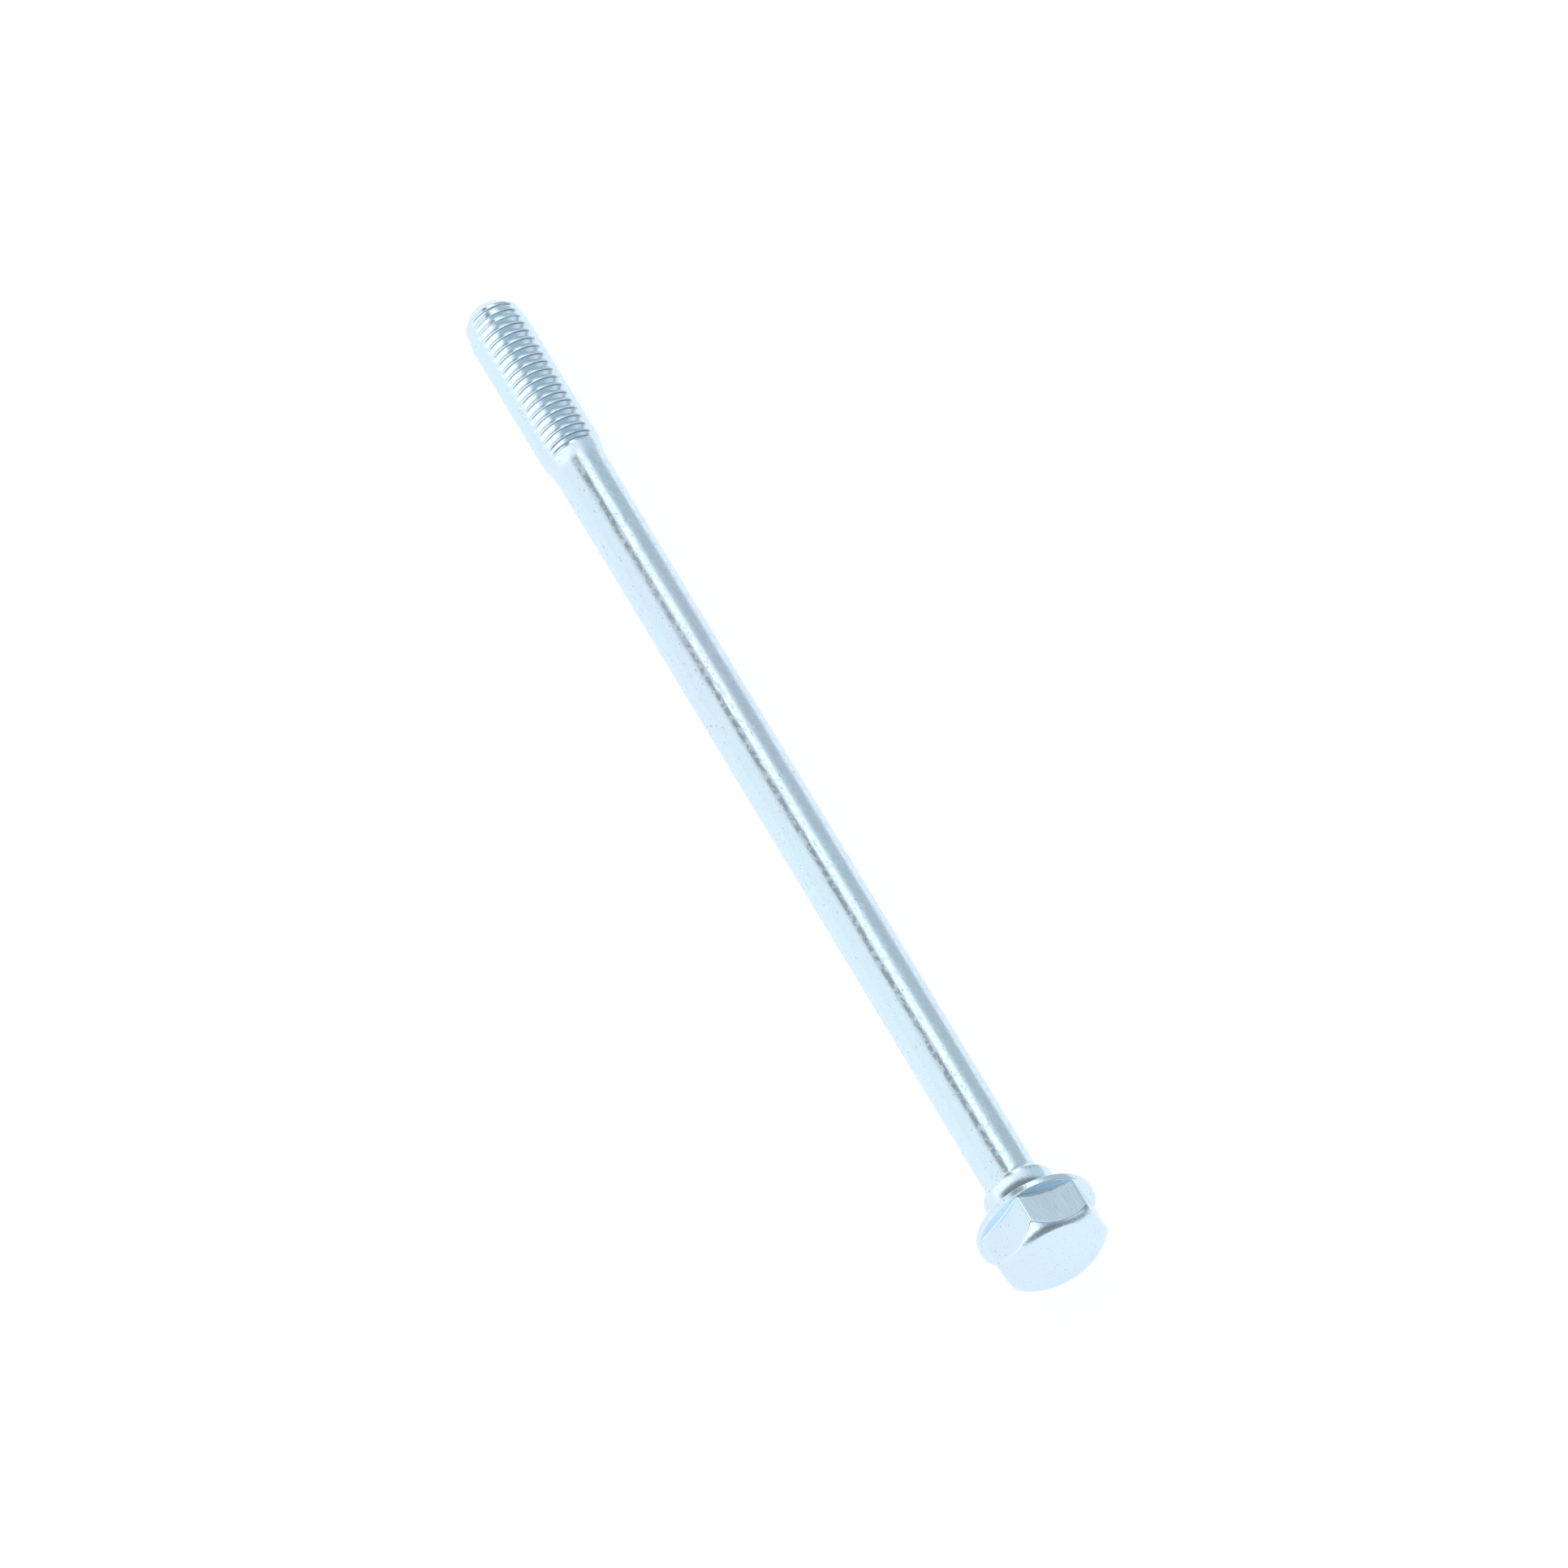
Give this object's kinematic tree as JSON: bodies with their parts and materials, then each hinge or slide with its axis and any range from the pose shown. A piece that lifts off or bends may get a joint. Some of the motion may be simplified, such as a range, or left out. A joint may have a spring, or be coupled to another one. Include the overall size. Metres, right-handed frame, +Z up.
{
  "type": "hex flange bolt",
  "caption": "Long steel bolt with a hex head, a round flange, a rounded collar under it, a plain shank and a short rolled thread at the tip; clamps deep housings together.",
  "frame": {"origin": "on the floor under the middle of the bolt as it lies at rest", "axes": "+X towards the head and +Z up; the bolt's own axis rises by about 1.5 degrees towards the head, because it lies on the flange's rim and on the thread"},
  "size_m": [0.1202, 0.0118, 0.0118],
  "materials": {
    "zinc_plate": "bright zinc plating with a pale blue tint, over drawn and forged steel"
  },
  "bodies": {
    "root": {"flange_bolt": "zinc_plate"}
  },
  "joints": []
}
